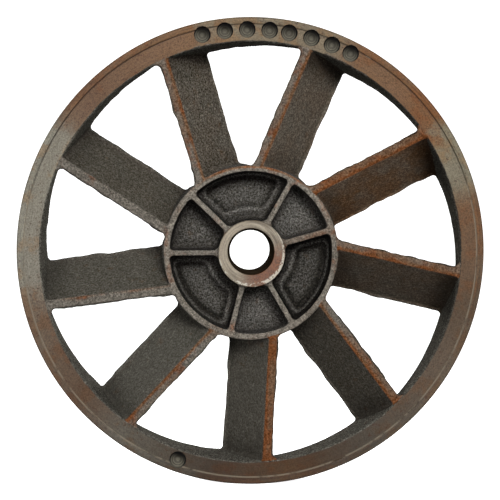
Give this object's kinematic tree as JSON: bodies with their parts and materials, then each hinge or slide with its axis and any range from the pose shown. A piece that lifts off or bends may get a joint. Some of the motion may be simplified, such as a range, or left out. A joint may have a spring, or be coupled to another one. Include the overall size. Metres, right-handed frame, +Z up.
{
  "type": "flywheel pulley",
  "caption": "Cast-iron V-belt flywheel with slanted fan-blade spokes, a ribbed hub and a round bore, for a belt-driven machine such as an air compressor.",
  "frame": {"origin": "on the bore's axis, at the middle of the rim's width", "axes": "+Y along the bore's axis, from the ribbed front face to the back; +Z up"},
  "size_m": [0.3556, 0.056, 0.3556],
  "materials": {
    "as_cast_iron": "as cast, dark and rough, with rust",
    "machined_iron": "turned, dull brown with rust"
  },
  "bodies": {
    "root": {"rim_front_flange": "machined_iron", "rim_centre_flange": "machined_iron", "rim_back_flange": "machined_iron", "rim_band": "as_cast_iron", "fan_blade_1": "as_cast_iron", "fan_blade_2": "as_cast_iron", "fan_blade_3": "as_cast_iron", "fan_blade_4": "as_cast_iron", "fan_blade_5": "as_cast_iron", "fan_blade_6": "as_cast_iron", "fan_blade_7": "as_cast_iron", "fan_blade_8": "as_cast_iron", "fan_blade_9": "as_cast_iron", "hub_ring": "as_cast_iron", "hub_web": "as_cast_iron", "hub_rib_1": "as_cast_iron", "hub_rib_2": "as_cast_iron", "hub_rib_3": "as_cast_iron", "hub_rib_4": "as_cast_iron", "hub_rib_5": "as_cast_iron", "hub_rib_6": "as_cast_iron", "hub_boss": "machined_iron"}
  },
  "joints": []
}
